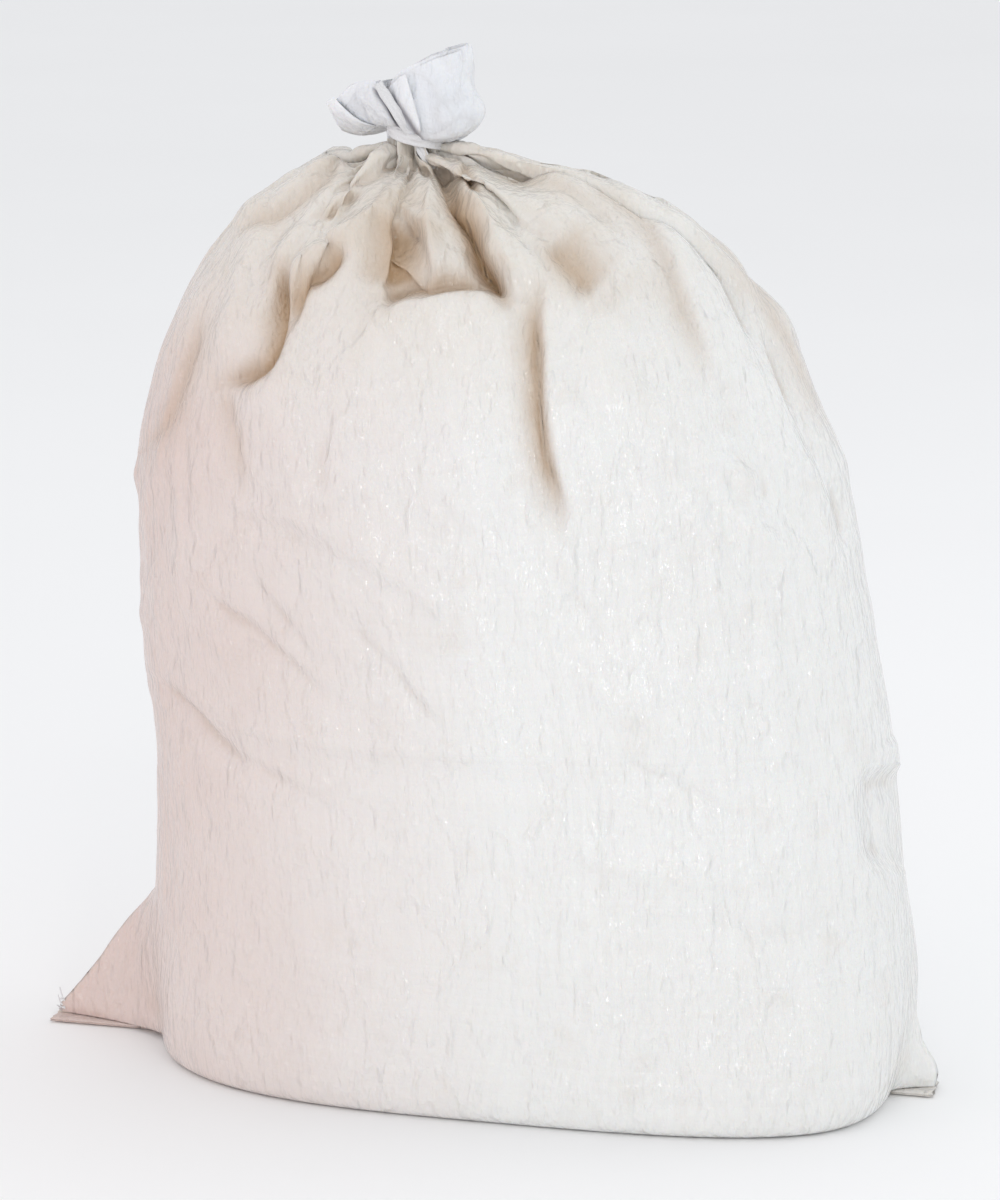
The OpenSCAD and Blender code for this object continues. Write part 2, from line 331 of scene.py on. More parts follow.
# How far each ear reaches out of the sack: height and reach, in millimetres
LEFT_FIN = np.array([[0, 78], [5, 77], [16, 66], [30, 54], [43, 42],
                     [56, 32], [68, 22], [81, 10], [91, 3], [104, 0]]) * MM
RIGHT_FIN = np.array([[0, 26], [10, 23], [17, 19], [25, 13], [32, 9], [47, 4], [61, 1.5], [80, 0]]) * MM
FIN_SPREAD = (46 * MM, 30 * MM)          # half width of the cloth that is drawn into the left and right ear
FIN_SHARP = 3                            # how fast an ear thins towards its tip
FLOOR_ROUND = 6 * MM                     # rounding of the filled sack's lower edge
HEM_LIFT = 3.2 * MM                      # the ears' cloth stands on the folded hem
BASE_Z = 0.6 * MM                        # height of the cloth under the base


def eared_ring(z, count):
    """One ring of the lower cloth, with the two pinched ears, evenly spaced from tip to tip."""
    angles = np.linspace(0, 2 * np.pi, 6001)
    tuck = max(FLOOR_ROUND - z, 0)
    inset = FLOOR_ROUND - math.sqrt(FLOOR_ROUND**2 - tuck**2)
    loop = rings(outline_at(z), angles, inset)[0]
    for sign, fin, spread in ((-1, LEFT_FIN, FIN_SPREAD[0]), (1, RIGHT_FIN, FIN_SPREAD[1])):
        share = np.clip(1 - np.abs(loop[:, 1]) / spread, 0, 1) * (sign * np.cos(angles) > 0)
        reach = np.interp(z, fin[:, 0], fin[:, 1]) + inset
        loop[:, 0] += sign * reach * share**FIN_SHARP
        loop[:, 2] += HEM_LIFT * smooth(share, 0.1, 0.5) * (1 - smooth(z, 0, 40 * MM)) * (reach > inset)
    half = len(angles) // 2
    parts = []
    for stretch in (loop[: half + 1], loop[half:]):
        run = np.r_[0, np.cumsum(np.linalg.norm(np.diff(stretch, axis=0), axis=1))]
        places = np.linspace(0, run[-1], count // 2, endpoint=False)
        parts.append(np.stack([np.interp(places, run, stretch[:, k]) for k in range(3)], -1))
    return np.concatenate(parts)


def base_rows(ring, count):
    """The cloth that is folded under the base, from the lowest ring in to the hem's line."""
    rows = []
    for share in np.linspace(1, 0, count, endpoint=False)[::-1] - 0.5 / count:
        row = ring.copy()
        row[:, 1] *= 1 - share
        over_hem = 1 - smooth(np.abs(row[:, 1]), 13 * MM, 20 * MM)
        row[:, 2] = np.maximum(row[:, 2], BASE_Z + 3.4 * MM * over_hem)
        rows.append(row)
    return np.array(rows[::-1])


def noise_field(rows, columns, tall, wide, seed):
    """Smooth noise over a grid closed round its columns. tall and wide: its cells, in rows and columns."""
    rng = np.random.default_rng(seed)
    coarse_columns = max(4, round(columns / wide))
    coarse_rows = int(rows / tall) + 4
    coarse = rng.normal(size=(coarse_rows, coarse_columns))
    across = np.arange(columns) * coarse_columns / columns
    up = np.arange(rows) / tall + 1
    i, f = np.floor(across).astype(int), across % 1
    f = f * f * (3 - 2 * f)
    coarse = coarse[:, i % coarse_columns] * (1 - f) + coarse[:, (i + 1) % coarse_columns] * f
    i, f = np.floor(up).astype(int), (up % 1)[:, None]
    f = f * f * (3 - 2 * f)
    return coarse[i] * (1 - f) + coarse[i + 1] * f


def cloth_from_simulation():
    """Rows x columns x 3 of the simulated cloth, up to the neck."""
    points, _, neck_row = tube_grid()
    found = simulate(points, neck_row)
    return found[: neck_row + 2]


def whole_cloth():
    """The cloth from the hem's line up to the neck, and how far up the cloth each row is."""
    upper = cloth_from_simulation()
    up = spline_matrix(len(upper), FINE, False)
    round_ = spline_matrix(COLUMNS, FINE, True)
    upper = np.einsum("ij,jkc->ikc", up, upper)
    upper = np.einsum("ij,kjc->kic", round_, upper)
    columns = upper.shape[1]
    heights = np.r_[0.4, 1.2, 2.4, 4.0, np.linspace(6, 197.8, 90)] * MM
    lower = np.array([eared_ring(z, columns) for z in heights])
    jump = upper[0] - eared_ring(SIM_BASE, columns)
    lower += smooth(heights, 0.11, SIM_BASE)[:, None, None] * jump
    base = base_rows(lower[0], 22)
    grid = np.concatenate([base, lower, upper])
    run = np.r_[0, np.cumsum(np.linalg.norm(np.diff(grid, axis=0), axis=2).mean(1))]
    return grid, run - run[len(base)]


# ---- the camera, and the front's own chart

AIM = Vector((0.009, 0, 0.300))          # what the camera looks at
CAMERA_TURN = math.radians(14)           # how far it stands to the right of the front
CAMERA_OUT, CAMERA_UP = 2.45, 0.600      # how far out and how far above AIM it stands
DISTANCE = Vector((CAMERA_OUT * math.sin(CAMERA_TURN), -CAMERA_OUT * math.cos(CAMERA_TURN), CAMERA_UP))
CAMERA_AT = AIM + DISTANCE
LENS = 128.3                             # millimetres
SHIFT_Y = -0.0217                        # lens shift, in picture widths


def make_camera():
    """The camera at the photograph's angle."""
    data = bpy.data.cameras.new("camera")
    camera = bpy.data.objects.new("camera", data)
    bpy.context.scene.collection.objects.link(camera)
    camera.location = CAMERA_AT
    camera.rotation_euler = (-DISTANCE).to_track_quat("-Z", "Y").to_euler()
    data.lens = LENS
    data.shift_y = SHIFT_Y
    data.dof.use_dof = False
    bpy.context.scene.camera = camera


VIEW_IN = np.array((-DISTANCE).normalized())
VIEW_RIGHT = np.cross(VIEW_IN, [0, 0, 1]) / np.linalg.norm(np.cross(VIEW_IN, [0, 0, 1]))
VIEW_UP = np.cross(VIEW_RIGHT, VIEW_IN)


def chart(points):
    """Places of points on a slanted chart of the front: how far right of and above AIM, in millimetres."""
    away = points - np.array(CAMERA_AT)
    scale = DISTANCE.length / (away @ VIEW_IN) / MM
    return np.stack([away @ VIEW_RIGHT * scale, away @ VIEW_UP * scale], -1)


# ---- creases that were pressed in one by one

# Each fold on the front: its line on the chart, its height (below 0 for a valley), and its width to the
# left and to the right of the line as it runs, all in millimetres
FRONT_FOLDS = [
    # the deep valley beside the neck, the rounded fold on its right, and the slit beyond that
    ([(-33, 236), (-23, 215), (-12, 187), (1, 165), (8, 156)], -15, 5, 6),
    ([(-26, 243), (-18, 222), (-9, 202), (3, 183), (16, 170), (25, 160)], 9, 9, 8),
    ([(-22, 240), (-17, 230), (-12, 221)], -7, 3, 5),
    ([(-41, 236), (-40, 205), (-38, 170)], 8, 7, 6),
    ([(-31, 232), (-22, 212), (-11, 186), (2, 164)], -4, 2, 2.5),
    ([(-44, 188), (-45, 176), (-58, 168), (-72, 150)], -3, 2.2, 3),
    ([(-61, 222), (-54, 208), (-46, 196), (-43, 184)], -4, 3, 1.8),
    ([(-50, 244), (-56, 226), (-60, 210), (-57, 200)], -3.5, 2, 3),
    ([(-47, 244), (-38, 230), (-31, 222)], -3, 2, 2.5),
    ([(-58, 246), (-76, 234), (-98, 226)], -3, 2, 3),
    ([(-60, 249), (-88, 244), (-118, 234)], 3, 3, 5),
    ([(-24, 252), (10, 248), (44, 236), (72, 220)], -2.5, 2.5, 3),
    ([(0, 250), (40, 248), (70, 238), (98, 222)], 2.5, 3, 5),
    # the two folds that part below the neck, and the hollow between them
    ([(-61, 226), (-76, 210), (-96, 196), (-115, 182), (-127, 152)], 9, 11, 5),
    ([(-61, 224), (-50, 211), (-43, 203), (-42, 186)], 6, 4, 6),
    ([(-60, 212), (-62, 190), (-64, 168)], -13, 15, 14),
    # the ledge where the slack cloth lies on the full front, and the hollow over it
    ([(-76, 148), (-68, 155), (-50, 160), (-29, 163), (0, 163), (11, 157), (25, 160)], 8, 4, 24),
    ([(-70, 163), (-50, 169), (-28, 171), (-4, 171)], -8, 8, 5),
    # the long fold down the front
    ([(25, 161), (22, 148), (23, 124), (24, 98), (27, 78), (31, 60), (38, 34)], -9, 2.5, 9),
    ([(20, 158), (18, 140), (19, 110), (22, 80), (28, 52)], 3, 10, 4),
    # the shallow bowl right of it
    ([(28, 190), (42, 178), (56, 164)], -7, 17, 8),
    ([(22, 192), (32, 178), (46, 160)], 4, 5, 4),
    ([(-22, 226), (-4, 204), (18, 182), (44, 158)], 2.5, 3, 8),
    # the pointed pleat on the left, and the valleys beside it
    ([(-137, 208), (-146, 178), (-157, 145), (-163, 118)], 8, 5, 12),
    ([(-128, 182), (-132, 150), (-138, 128), (-150, 118), (-163, 112)], -10, 5, 5),
    ([(-91, 192), (-104, 178), (-117, 166), (-124, 148)], -9, 4, 6),
    ([(-83, 226), (-96, 218), (-109, 210)], -5, 3, 3),
    ([(-87, 250), (-117, 230), (-160, 205)], 5, 7, 7),
    ([(-95, 240), (-122, 218), (-150, 200)], -4, 4, 4),
    ([(-110, 205), (-128, 190), (-136, 170)], 4, 6, 6),
    ([(-162, 108), (-158, 80), (-153, 52)], -3, 4, 5),
    # creases of the flat tube that lead up to the neck on the right
    ([(-10, 252), (30, 232), (80, 205)], 3, 8, 4),
    ([(0, 236), (40, 224), (76, 196)], -3, 4, 6),
    ([(47, 227), (81, 208), (103, 173), (116, 144), (124, 120)], -4, 3, 9),
    ([(60, 236), (92, 214), (120, 190)], 3, 6, 8),
    ([(116, 213), (155, 169), (185, 113), (196, 88)], -4, 3, 9),
    ([(100, 226), (140, 190), (170, 150)], 2.5, 7, 7),
    # the back layer's edge on the left
    ([(-209, 76), (-199, 90), (-188, 117), (-173, 153)], -4, 3, 8),
    ([(-196, 120), (-186, 146), (-168, 176)], 3, 6, 6),
    # wide soft wrinkles lower down
    ([(-177, -9), (-140, -40), (-100, -74)], -4, 3.5, 9),
    ([(-88, -27), (-60, -62), (-30, -98)], -3, 3.5, 9),
    ([(-150, 2), (-128, -28), (-108, -54)], -2.6, 3, 6),
    ([(-200, -64), (-176, -92), (-150, -116)], -2.6, 3, 6),
    ([(40, -8), (52, -24), (60, -44)], -1.6, 3, 5),
    ([(70, -108), (104, -122), (150, -148)], -1.8, 3, 6),
    ([(-196, 20), (-176, -20), (-160, -66)], 2, 8, 6),
    ([(-205, -60), (-160, -104), (-96, -140)], -3, 4, 10),
    ([(60, 0), (110, -16), (170, -14)], 1.6, 8, 7),
    ([(90, -60), (140, -78), (200, -76)], -1.8, 6, 9),
    ([(20, -150), (80, -176), (160, -180)], 1.8, 8, 8),
    ([(128, -196), (160, -214), (196, -205)], -2, 5, 8),
    # the small bulge on the right edge, and the hollow below it
    ([(230, -112), (228, -140), (234, -178)], -12, 13, 14),
    ([(228, -98), (234, -108), (233, -118)], 4, 9, 9),
]


def line_distance(places, line):
    """Signed distance of places from a line, above 0 on its left, and how far along it they are, 0 to 1."""
    best = np.full(len(places), 1e9)
    side = np.ones(len(places))
    along = np.zeros(len(places))
    lengths = [math.dist(a, b) for a, b in zip(line, line[1:])]
    start = 0
    for (a, b), length in zip(zip(line, line[1:]), lengths):
        a, d = np.array(a, float), (np.array(b, float) - a) / length
        rel = places - a
        t = np.clip(rel @ d, 0, length)
        off = rel - t[:, None] * d
        distance = np.hypot(off[:, 0], off[:, 1])
        near = distance < best
        best = np.where(near, distance, best)
        side = np.where(near, np.sign(d[0] * rel[:, 1] - d[1] * rel[:, 0]), side)
        along = np.where(near, (start + t) / sum(lengths), along)
        start += length
    return best * side, along


def smooth_line(line, count=14):
    """The same line as a smooth curve."""
    rows = np.array(line, float)
    return catmull(rows, np.linspace(0, len(rows) - 1, count)).tolist()


def fold_heights(grid, normals):
    """How far the folds on the front push each point out along its normal, and how much painted shade each
    valley gets.
    """
    flat = grid.reshape(-1, 3)
    to_camera = np.array(CAMERA_AT) - flat
    to_camera /= np.linalg.norm(to_camera, axis=1, keepdims=True)
    facing = smooth((normals.reshape(-1, 3) * to_camera).sum(1), -0.25, 0.10)
    places = chart(flat)
    wobble = noise_field(grid.shape[0], grid.shape[1], 9, 9, 21).reshape(-1)
    places = places + 0.7 * np.stack([wobble, np.roll(wobble, 977)], -1)
    height, tone = np.zeros(len(flat)), np.zeros(len(flat))
    for line, rise, left, right in FRONT_FOLDS:
        low = np.min(line, 0) - 3 * max(left, right)
        high = np.max(line, 0) + 3 * max(left, right)
        near = np.flatnonzero(np.all((places > low) & (places < high), 1) & (facing > 0))
        distance, along = line_distance(places[near], smooth_line(line))
        width = np.where(distance > 0, left, right)
        taper = band(along, -0.12, 0.2, 0.72, 1.1)
        shape = np.exp(-((np.abs(distance) / width) ** 1.6))
        shape *= taper * facing[near]
        height[near] += rise * MM * shape
        # painted shade: the deeper valleys in the upper front get a tone that darkens them towards the
        # crease colour
        upper = smooth(places[near, 1], 0, 30)
        tone[near] = np.maximum(tone[near], shape * upper * np.clip(-rise / 9 - 0.15, 0, 1))
    return height.reshape(grid.shape[:2]), tone.reshape(grid.shape[:2])


def finished_cloth():
    """The whole cloth with its folds, wrinkles and crinkles, and how much painted shade each point gets
    from lying deep in a fold.
    """
    grid, run = whole_cloth()
    rows, columns = grid.shape[:2]
    shoulder = band(grid[..., 2], 0.40, 0.47, 0.505, 0.548)
    grid[..., 0] += 7 * MM * shoulder * smooth(grid[..., 0], 0.03, 0.15)
    high = smooth(grid[..., 2], 0.36, 0.42) * (1 - smooth(run, run[-1] - 0.030, run[-1] - 0.012)[:, None])
    front = smooth(0.09 * smooth(grid[..., 0], -0.02, 0.06) - grid[..., 1], 0.0, 0.03)
    calm = blurred(grid, 60)
    crest = band(grid[..., 2], 0.47, 0.50, 0.542, 0.552) * smooth(grid[..., 0], 0.02, 0.06)
    grid = grid + (calm - grid) * ((0.75 + 0.2 * crest) * high * front)[..., None]
    normals = grid_normals(blurred(grid, 2))
    above = smooth(run, 0.004, 0.03)[:, None]
    neck_fade = 1 - smooth(run, run[-1] - 0.02, run[-1])[:, None]
    height, tone = fold_heights(grid, grid_normals(blurred(grid, 8)))
    broad = noise_field(rows, columns, 34, 26, 3)
    medium = noise_field(rows, columns, 16, 11, 4)
    ridged = 1 - 2 * np.abs(noise_field(rows, columns, 26, 9, 5)).clip(0, 1)
    small = 1 - 2 * np.abs(noise_field(rows, columns, 9, 4, 6)).clip(0, 1)
    height += 5 * MM * crest
    height += (0.9 * broad + 0.35 * medium + 0.35 * ridged + 0.12 * small) * MM * above
    grid = grid + normals * (height * neck_fade)[..., None]
    calm = blurred(grid, 24)
    # painted shade: the deeper a point lies below the smoothed cloth, the more crease shade it is given
    depth = ((calm - grid) * grid_normals(calm)).sum(2) / (8 * MM) - 0.12
    return grid, run, np.clip(np.maximum(depth, blurred(tone, 1)), 0, 1)


# ---- the mouth above the tie

# The mouth, by direction round the neck in degrees from +X: its open edge, and the point that each way
# from the tie to the edge bends towards. The tube lies almost flat here, like a fan. Millimetres.
MOUTH_SHAPE = np.array([
    [-180, -82, 0, 559, -68, 0, 553],
    [-160, -88, -5, 577, -66, -12, 559],
    [-140, -74, -10, 589, -60, -20, 565],
    [-120, -60, -13, 592, -52, -25, 566],
    [-100, -55, -14, 587, -44, -28, 564],
    [-75, -46, -13, 596, -32, -29, 560],
    [-40, -28, -10, 605, -2, -24, 555],
    [-10, -10, -3, 611, 15, -8, 555],
    [0, -9, 0, 611, 17, 0, 556],
    [20, -13, 5, 606, 11, 12, 558],
    [60, -40, 13, 596, -18, 26, 566],
    [100, -56, 14, 587, -44, 28, 569],
    [130, -70, 11, 586, -60, 22, 566],
    [160, -85, 5, 571, -66, 10, 559],
    [180, -82, 0, 559, -68, 0, 553],
]) * ([math.radians(1)] + 6 * [MM])
TIE_Z = 560 * MM            # middle of the tie
TIE_SLANT = 5 * MM          # it lies lower on the right
PETALS = 8                  # folds round the mouth
LEAN = 8.0                  # how far each fold lies over its neighbour
MOUTH_ROWS = 34


def mouth_at(angle, column):
    """The mouth's edge (column 1) or its bend points (column 4) in directions angle: points."""
    wrapped = (angle + np.pi) % (2 * np.pi) - np.pi
    columns = (MOUTH_SHAPE[:, column + k] for k in range(3))
    return np.stack([np.interp(wrapped, MOUTH_SHAPE[:, 0], values) for values in columns], -1)


def mouth_grid(ring):
    """The ruffle: rows of cloth from the neck's ring up through the tie and out to the open edge."""
    columns = len(ring)
    rel = ring - np.array(NECK)
    angle0, reach0 = np.arctan2(rel[:, 1], rel[:, 0]), np.hypot(rel[:, 0], rel[:, 1])
    around = np.linspace(0, 2 * np.pi, columns, endpoint=False) + angle0[0]
    unevenness = noise_field(6, columns, 3, 30, 31)
    phase = np.arange(columns) / columns * 2 * np.pi * PETALS + 1.1 * unevenness[1]
    mean = reach0.mean()
    rows = []
    for s in np.linspace(0, 1, MOUTH_ROWS):
        neck_part = 0.2
        flare = max(0.0, (s - neck_part) / (1 - neck_part))
        loose = float(smooth(s, 0.12, 0.5))
        twist = (angle0 - around + np.pi) % (2 * np.pi) - np.pi
        angle = around + twist * (1 - loose) + LEAN / PETALS * loose * np.sin(phase)
        out = np.stack([np.cos(angle), np.sin(angle), 0 * angle], -1)
        tied = np.array(NECK) + mean * out
        tied[:, 2] = TIE_Z - TIE_SLANT * np.cos(angle)
        if flare == 0:
            way = tied.copy()
            way[:, 2] = ring[:, 2] + (tied[:, 2] - ring[:, 2]) * s / neck_part
        else:
            bend, edge = mouth_at(angle, 4), mouth_at(angle, 1)
            way = tied * (1 - flare) ** 2 + bend * 2 * flare * (1 - flare) + edge * flare**2
            notch = math.exp(-(((flare - 0.78) / 0.14) ** 2)) * smooth(np.cos(angle + 0.17), 0.6, 1.0)
            way[:, 0] -= 8 * MM * notch
        out[:, 0] *= 1 - 0.55 * flare
        out /= np.linalg.norm(out, axis=1, keepdims=True)
        pleat = (reach0 - mean) * (1 - 0.8 * loose)
        rise = (1.5 + 3.5 * flare) * MM * loose * (1 + 0.3 * unevenness[2])
        rows.append(way + out * (pleat + rise * np.sin(phase))[:, None])
    rows[0] = ring
    grid = np.array(rows)
    free = smooth(np.linspace(0, 1, MOUTH_ROWS), 0.35, 0.7)[:, None]
    grid[..., 2] += 1.5 * MM * unevenness[3] * free
    small = noise_field(MOUTH_ROWS, columns, 7, 14, 33) * free
    grid[..., 1] += 1.1 * MM * small
    offset, beside = strand_offset(grid)
    groove = beside * np.exp(-((offset / (0.8 * STRAND_W)) ** 4))
    return grid + 2.6 * MM * groove[..., None] * VIEW_IN


STRAND_LINE = np.array([(-41.0, 241.0), (-72.0, 289.0)])     # its lower and upper end on the chart
STRAND_W = 5.6 * MM                                          # width of the strand over the mouth


def strand_offset(points):
    """Distance on the chart from the strand's line, and 1 on the stretch beside it."""
    distance, along = line_distance(chart(points.reshape(-1, 3)), STRAND_LINE.tolist())
    beside = band(along, 0.0, 0.1, 0.94, 1.0) * (points[..., 1].ravel() < 4 * MM)
    return np.abs(distance).reshape(points.shape[:2]) * MM, beside.reshape(points.shape[:2])


def strand_gap_shadow(points):
    """1 in the two gaps along the edges of the strand, where a painted shadow line goes."""
    offset, beside = strand_offset(points)
    return beside * np.exp(-(((offset - STRAND_W / 2 - 0.5 * MM) / (1.5 * MM)) ** 2))


# ---- pieces of cloth


def cloth_piece(name, grid, run, depth, keep, material, seamed=True):
    """One piece of the cloth grid: the faces whose centre keep() accepts, with its weave's UVs and its
    painted-shade depth.

    A seamed piece takes its normals from the whole grid, so that its shading runs on across the seam."""
    rows, columns = grid.shape[:2]
    faces = grid_faces(rows, columns)
    flat = grid.reshape(-1, 3)
    corners = flat[faces]
    diagonals = corners[:, 2] - corners[:, 0], corners[:, 3] - corners[:, 1]
    area = np.linalg.norm(np.cross(*diagonals), axis=1) / 2
    chosen = keep(corners.mean(1)) & (area > 1e-9)
    faces = faces[chosen]
    used, index = np.unique(faces, return_inverse=True)
    obj = new_mesh(name, flat[used], index.reshape(-1, 4), material)
    mesh = obj.data
    i, k = np.divmod(faces[:, 0], columns)
    u = np.stack([k, k + 1, k + 1, k], -1) * GIRTH / columns
    v = run[np.stack([i, i, i + 1, i + 1], -1)]
    layer = mesh.uv_layers.new(name="weave")
    layer.data.foreach_set("uv", np.stack([u, v], -1).astype(np.float32).ravel())
    attribute = mesh.attributes.new("depth", "FLOAT", "POINT")
    attribute.data.foreach_set("value", depth.reshape(-1)[used].astype(np.float32))
    if seamed:
        normals = grid_normals(grid).reshape(-1, 3)[used]
        mesh.normals_split_custom_set_from_vertices(normals.tolist())
    return obj


def ribbon(path, sides, width, thickness, ribs=5, rough=0.0, seed=1):
    """A flat strip along a path, as a closed mesh: points, faces. sides are the directions of its width."""
    path, sides = np.asarray(path, float), np.asarray(sides, float)
    tangent = np.gradient(path, axis=0)
    tangent /= np.linalg.norm(tangent, axis=1, keepdims=True)
    sides = sides - tangent * (sides * tangent).sum(1, keepdims=True)
    sides /= np.linalg.norm(sides, axis=1, keepdims=True)
    normal = np.cross(tangent, sides)
    rng = np.random.default_rng(seed)
    across = np.linspace(-1, 1, 2 * ribs + 1)
    wave = 0.35 * np.sin(np.linspace(0, ribs * np.pi, len(across)))
    top = np.stack([across * width / 2, thickness * (0.5 + wave)], -1)
    bottom = np.stack([across[::-1] * width / 2, thickness * (wave[::-1] - 0.5)], -1)
    section = np.concatenate([top, bottom])
    n, m = len(path), len(section)
    coarse = np.arange(0, n + 4, 4)
    widths = 1 + rough * np.interp(np.arange(n), coarse, rng.normal(size=len(coarse)))
    points = (path[:, None] + sides[:, None] * (section[None, :, 0] * widths[:, None])[..., None]
              + normal[:, None] * section[None, :, 1:2])
    faces = grid_faces(n, m).tolist()
    faces += [list(range(m))[::-1], list(range((n - 1) * m, n * m))]
    return points.reshape(-1, 3), faces


def tube(path, radius, sides=7):
    """A round thread along a path, as a closed mesh: points, faces."""
    path = np.asarray(path, float)
    tangent = np.gradient(path, axis=0)
    tangent /= np.linalg.norm(tangent, axis=1, keepdims=True)
    first = np.cross(tangent, [0.13, 0.21, 0.97])
    first /= np.linalg.norm(first, axis=1, keepdims=True)
    second = np.cross(tangent, first)
    turn = np.linspace(0, 2 * np.pi, sides, endpoint=False)
    points = path[:, None] + radius * (first[:, None] * np.cos(turn)[None, :, None]
                                       + second[:, None] * np.sin(turn)[None, :, None])
    faces = grid_faces(len(path), sides).tolist()
    faces += [list(range(sides))[::-1], list(range((len(path) - 1) * sides, len(path) * sides))]
    return points.reshape(-1, 3), faces


def joined(name, parts, material):
    """One object from several (points, faces)."""
    points, faces, start = [], [], 0
    for part_points, part_faces in parts:
        points.append(part_points)
        faces += [[start + k for k in face] for face in part_faces]
        start += len(part_points)
    return new_mesh(name, np.concatenate(points), faces, material)


# ---- hem and stitching

STITCH = 8 * MM             # length of a stitch
THREAD_R = 0.42 * MM        # radius of the sewing thread


def hem_strip(name, x_from, x_to, low, high, material, cut_ends):
    """The folded hem: one strip of cloth folded to and fro in three layers, with frayed cut ends."""
    half = high.y - 0.6 * MM
    layers = 3
    pitch = (high.z - low.z) / layers
    middle = []
    for k in range(layers):
        z = high.z - pitch * (k + 0.5)
        ends = (half, -half) if k % 2 == 0 else (-half, half)
        middle += [(y, z) for y in np.linspace(ends[0], ends[1], 9)]
        if k < layers - 1:
            bulge = 0.45 * pitch * (1 if ends[1] > 0 else -1)
            middle += [(ends[1] + bulge, z - pitch * 0.5)]
    middle = np.array(middle)
    along = np.gradient(middle, axis=0)
    along /= np.linalg.norm(along, axis=1, keepdims=True)
    off = np.stack([-along[:, 1], along[:, 0]], -1) * 0.27 * MM
    section = np.concatenate([middle + off, (middle - off)[::-1]])
    count = max(int((x_to - x_from) / (3 * MM)), 6)
    rng = np.random.default_rng(round(1000 * x_to) % 97 + 11)
    fray = rng.uniform(-1.3, 0.9, (2, len(section))) * MM
    points = []
    for share in np.linspace(0, 1, count):
        x = np.full(len(section), x_from + (x_to - x_from) * share)
        if "low" in cut_ends:
            x += (fray[0] + 0.6 * MM) * (1 - smooth(share * count, 0, 2))
        if "high" in cut_ends:
            x += (fray[1] - 0.6 * MM) * (1 - smooth((1 - share) * count, 0, 2))
        wave = 0.22 * MM * math.sin(120 * x_from + 31 * share * (x_to - x_from) / 0.05)
        points.append(np.stack([x, section[:, 0] + wave, section[:, 1]], -1))
    points = np.array(points)
    m = len(section)
    faces = grid_faces(count, m).tolist()
    quads = [[k, k + 1, m - 2 - k, m - 1 - k] for k in range(m // 2 - 1)]
    faces += [quad[::-1] for quad in quads] + [[(count - 1) * m + q for q in quad] for quad in quads]
    obj = new_mesh(name, points.reshape(-1, 3), faces, material)
    run = np.r_[0, np.cumsum(np.linalg.norm(np.diff(middle, axis=0), axis=1))]
    uv = np.stack([points[..., 0], np.broadcast_to(np.r_[run, run[::-1]], (count, m))], -1).reshape(-1, 2)
    corner = np.zeros(len(obj.data.loops), np.int32)
    obj.data.loops.foreach_get("vertex_index", corner)
    layer = obj.data.uv_layers.new(name="weave")
    layer.data.foreach_set("uv", uv[corner].astype(np.float32).ravel())
    return obj


def needle_thread(x_from, x_to, z):
    """Straight stitches on one face of the hem, with both ends of each going down into the cloth."""
    count = int(round((x_to - x_from) / STITCH)) * 16
    t = np.linspace(0, 1, max(count, 16))
    x = x_from + (x_to - x_from) * t
    share = ((x - x_from) / STITCH) % 1
    dip = smooth(np.abs(share - 0.5), 0.36, 0.5)
    height = z + THREAD_R * 0.6 - 1.1 * MM * dip
    return tube(np.stack([x, 0.12 * MM * np.sin(x * 900), height], -1), THREAD_R)


def looper_thread(x_from, x_to, z):
    """The chain of loops on the hem's other face."""
    count = int(round((x_to - x_from) / STITCH)) * 24
    t = np.linspace(0, (x_to - x_from) / STITCH, max(count, 24))
    x = x_from + STITCH * (t + 0.22 * np.sin(4 * np.pi * t))
    y = 0.95 * MM * np.sin(2 * np.pi * t)
    height = z - THREAD_R - 0.05 * MM + 0.16 * MM * np.cos(2 * np.pi * t)
    height = np.maximum(height, THREAD_R + 0.02 * MM)
    return tube(np.stack([np.clip(x, x_from, x_to), y, height], -1), THREAD_R * 0.85)


def hold(piece, prefix):
    """Rides a piece on the sack, or for the left or right ear bakes its place into its mesh."""
    if prefix == "bottom":
        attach(piece, "sack")
    else:
        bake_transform(piece)


def stitched_hem(prefix, cut_ends):
    """A stretch of hem with its two threads, standing for three CAD nodes."""
    hem_node = "bottom_hem" if prefix == "bottom" else prefix + "_hem_end"
    low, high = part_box(hem_node)
    strip = hem_strip(hem_node + "_cloth", low.x, high.x, low, high, hem_material, cut_ends)
    hold(strip, prefix)
    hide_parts(hem_node)
    for kind, maker, z in (("needle", needle_thread, high.z), ("looper", looper_thread, low.z)):
        node = f"{prefix}_{kind}_thread"
        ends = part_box(node)
        thread = joined(node + "_yarn", [maker(ends[0].x, ends[1].x, z)], thread_material)
        hold(thread, prefix)
        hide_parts(node)


# ---- materials


